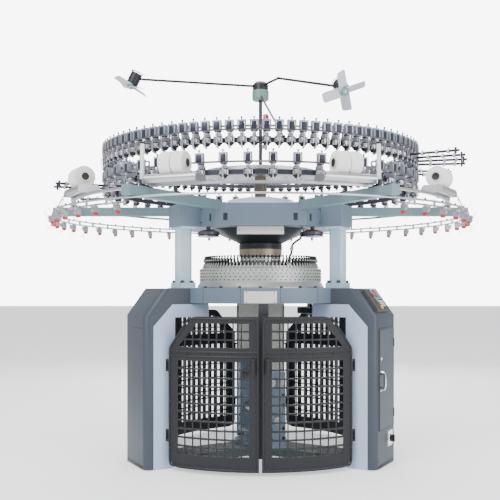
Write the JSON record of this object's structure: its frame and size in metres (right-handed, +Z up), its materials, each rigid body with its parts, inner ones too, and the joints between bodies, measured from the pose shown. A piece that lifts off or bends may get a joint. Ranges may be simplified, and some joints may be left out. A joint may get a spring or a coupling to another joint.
{
  "type": "circular knitting machine",
  "caption": "Large-diameter circular knitting machine: three-leg frame with curved grid gates, cam ring, crown, ringed positive feeders, elastane packages and turning lint fans.",
  "frame": {"origin": "on the floor, on the vertical axis of the needle cylinder", "axes": "+Z up along the cylinder's axis, -Y towards the operator's front gates, +X to the leg with the control panel's side"},
  "size_m": [3.1948, 3.1948, 2.9152],
  "materials": {
    "base_iron": "painted rough casting",
    "leg_iron": "painted casting",
    "cover_grey": "satin powder coat",
    "panel_light": "satin powder coat",
    "bed_blue": "satin enamel",
    "column_blue": "satin enamel",
    "crown_blue": "satin enamel",
    "dome_pale": "satin enamel",
    "funnel_black": "satin enamel",
    "cap_bronze": "machined bronze",
    "dial_steel": "ground",
    "cam_aluminium": "milled",
    "ring_steel": "turned",
    "carrier_black": "moulded",
    "cylinder_steel": "ground with needle tricks",
    "gear_steel": "hobbed",
    "motor_grey": "enamel",
    "pulley_iron": "machined",
    "belt_rubber": "moulded",
    "takedown_blue": "satin enamel",
    "gearbox_green": "enamel",
    "roller_rubber": "ground rubber",
    "batch_steel": "drawn",
    "wheel_aluminium": "turned",
    "pole_black": "enamel",
    "blade_plastic": "moulded",
    "tower_lens": "clear coloured lenses",
    "creel_steel": "zinc plated",
    "creel_teal": "satin enamel",
    "feeder_black": "moulded",
    "feeder_wheel": "polished",
    "tape_white": "woven tape",
    "stop_red": "moulded",
    "elastane_rubber": "ground rubber",
    "yarn_white": "wound yarn",
    "lamp_dark": "moulded",
    "gate_charcoal": "moulded",
    "fitting_black": "enamel",
    "panel_black": "moulded",
    "button_red": "moulded",
    "button_green": "moulded",
    "button_orange": "moulded",
    "switch_red": "moulded"
  },
  "bodies": {
    "machine": {"base_spider": "base_iron", "leg_left": "leg_iron", "leg_right": "leg_iron", "leg_rear": "leg_iron", "leg_cover_left": "cover_grey", "leg_cover_right": "cover_grey", "leg_cover_rear": "cover_grey", "side_panels": "panel_light", "control_panel": "panel_black", "rear_guards": "gate_charcoal", "gate_fittings": "fitting_black", "bed_ring": "bed_blue", "columns": "column_blue", "crown_beam": "crown_blue", "crown_dome": "dome_pale", "dial_housing": "funnel_black", "dial_cap": "cap_bronze", "cam_boxes": "cam_aluminium", "cam_ring": "ring_steel", "guide_ring": "ring_steel", "yarn_carriers": "carrier_black", "main_motor": "motor_grey", "drive_belt": "belt_rubber", "fan_pole": "pole_black", "fan_gearbox": "gearbox_green", "signal_tower": "tower_lens", "creel_cage": "creel_steel", "outer_rings": "creel_steel", "creel_arms": "creel_teal", "feeder_bodies": "feeder_black", "feeder_wheels": "feeder_wheel", "drive_tapes": "tape_white", "stop_units": "stop_red", "elastane_rollers": "elastane_rubber", "work_lamps": "lamp_dark"},
    "cylinder": {"needle_cylinder": "cylinder_steel", "cylinder_gear": "gear_steel"},
    "takedown": {"takedown_frame": "takedown_blue", "takedown_gearbox": "gearbox_green"},
    "dial": {"dial": "dial_steel"},
    "pinion": {"pinion_shaft": "gear_steel"},
    "motor_shaft": {"motor_pulley": "pulley_iron"},
    "tape_drive": {"tape_wheel": "wheel_aluminium"},
    "pull_front": {"pull_roller_front": "roller_rubber"},
    "pull_rear": {"pull_roller_rear": "roller_rubber"},
    "batch": {"batch_roller": "batch_steel"},
    "fan_turret": {"fan_arms": "pole_black"},
    "fan_left": {"fan_blades_left": "blade_plastic"},
    "fan_right": {"fan_blades_right": "blade_plastic"},
    "left_gate": {"gate_left": "gate_charcoal"},
    "right_gate": {"gate_right": "gate_charcoal"},
    "door": {"cabinet_door": "cover_grey"},
    "switch": {"main_switch": "switch_red"},
    "stop": {"stop_button": "button_red"},
    "start": {"start_button": "button_green"},
    "jog": {"jog_button": "button_orange"},
    "package_1": {"elastane_package_left_outer": "yarn_white"},
    "package_2": {"elastane_package_left_inner": "yarn_white"},
    "package_3": {"elastane_package_right_inner": "yarn_white"},
    "package_4": {"elastane_package_right_outer": "yarn_white"}
  },
  "joints": [
    {"name": "cylinder_spin", "type": "hinge", "parent": "machine", "child": "cylinder", "pos_m": [0, 0, 1.2], "axis": [0, 0, 1], "continuous": true},
    {"name": "takedown_spin", "type": "hinge", "parent": "machine", "child": "takedown", "pos_m": [0, 0, 0.075], "axis": [0, 0, 1], "continuous": true},
    {"name": "dial_spin", "type": "hinge", "parent": "machine", "child": "dial", "pos_m": [0, 0, 1.415], "axis": [0, 0, 1], "continuous": true},
    {"name": "pinion_spin", "type": "hinge", "parent": "machine", "child": "pinion", "pos_m": [0.36373, -0.21, 1.18], "axis": [0, 0, 1], "continuous": true},
    {"name": "motor_spin", "type": "hinge", "parent": "machine", "child": "motor_shaft", "pos_m": [0.77076, -0.445, 1.08], "axis": [0, 0, 1], "continuous": true},
    {"name": "tape_wheel_spin", "type": "hinge", "parent": "machine", "child": "tape_drive", "pos_m": [0, 0, 2.11], "axis": [0, 0, 1], "continuous": true},
    {"name": "pull_front_spin", "type": "hinge", "parent": "takedown", "child": "pull_front", "pos_m": [-0.0313, -0.01047, 0.56], "axis": [0.3173, -0.9483, 0], "continuous": true},
    {"name": "pull_rear_spin", "type": "hinge", "parent": "takedown", "child": "pull_rear", "pos_m": [0.0313, 0.01047, 0.56], "axis": [0.3173, -0.9483, 0], "continuous": true},
    {"name": "batch_spin", "type": "hinge", "parent": "takedown", "child": "batch", "pos_m": [0, 0, 0.29], "axis": [0.3173, -0.9483, 0], "continuous": true},
    {"name": "fan_turret_spin", "type": "hinge", "parent": "machine", "child": "fan_turret", "pos_m": [0, 0, 2.8], "axis": [0, 0, 1], "continuous": true},
    {"name": "fan_left_spin", "type": "hinge", "parent": "fan_turret", "child": "fan_left", "pos_m": [-0.997, 0, 2.802], "axis": [-0.4229, 0, -0.9062], "continuous": true},
    {"name": "fan_right_spin", "type": "hinge", "parent": "fan_turret", "child": "fan_right", "pos_m": [0.552, -0.823, 2.552], "axis": [0.2496, -0.7188, -0.6489], "continuous": true},
    {"name": "left_gate_swing", "type": "hinge", "parent": "machine", "child": "left_gate", "pos_m": [-0.62639, -0.62469, 0.54], "axis": [0, 0, -1], "range_deg": [0, 105]},
    {"name": "right_gate_swing", "type": "hinge", "parent": "machine", "child": "right_gate", "pos_m": [0.62639, -0.62469, 0.54], "axis": [0, 0, 1], "range_deg": [0, 105]},
    {"name": "door_swing", "type": "hinge", "parent": "machine", "child": "door", "pos_m": [0.95794, -0.39141, 0.614], "axis": [0, 0, 1], "range_deg": [0, 110]},
    {"name": "main_switch_turn", "type": "hinge", "parent": "machine", "child": "switch", "pos_m": [0.92361, -0.44087, 0.184], "axis": [0.866, -0.5, 0], "range_deg": [0, 90]},
    {"name": "stop_press", "type": "slide", "parent": "machine", "child": "stop", "axis": [-0.6964, 0.402, -0.5945], "range_m": [0, 0.004], "stiffness_N_per_m": 400},
    {"name": "start_press", "type": "slide", "parent": "machine", "child": "start", "axis": [-0.6964, 0.402, -0.5945], "range_m": [0, 0.004], "stiffness_N_per_m": 400},
    {"name": "jog_press", "type": "slide", "parent": "machine", "child": "jog", "axis": [-0.6964, 0.402, -0.5945], "range_m": [0, 0.004], "stiffness_N_per_m": 400},
    {"name": "package_1_spin", "type": "hinge", "parent": "machine", "child": "package_1", "pos_m": [-1.21244, -0.7, 1.99576], "axis": [0.5, -0.866, 0], "continuous": true},
    {"name": "package_2_spin", "type": "hinge", "parent": "machine", "child": "package_2", "pos_m": [-0.5131, -1.30259, 1.99576], "axis": [0.9304, -0.3665, 0], "continuous": true},
    {"name": "package_3_spin", "type": "hinge", "parent": "machine", "child": "package_3", "pos_m": [0.5131, -1.30259, 1.99576], "axis": [0.9304, 0.3665, 0], "continuous": true},
    {"name": "package_4_spin", "type": "hinge", "parent": "machine", "child": "package_4", "pos_m": [1.21244, -0.7, 1.99576], "axis": [0.5, 0.866, 0], "continuous": true}
  ],
  "couplings": [
    {"joint": "takedown_spin", "follows": "cylinder_spin", "ratio": 1},
    {"joint": "dial_spin", "follows": "cylinder_spin", "ratio": 1},
    {"joint": "pinion_spin", "follows": "cylinder_spin", "ratio": -6},
    {"joint": "motor_spin", "follows": "cylinder_spin", "ratio": -8.5},
    {"joint": "tape_wheel_spin", "follows": "cylinder_spin", "ratio": 1.5},
    {"joint": "pull_front_spin", "follows": "cylinder_spin", "ratio": 0.8},
    {"joint": "pull_rear_spin", "follows": "cylinder_spin", "ratio": -0.8},
    {"joint": "batch_spin", "follows": "cylinder_spin", "ratio": 0.6}
  ]
}
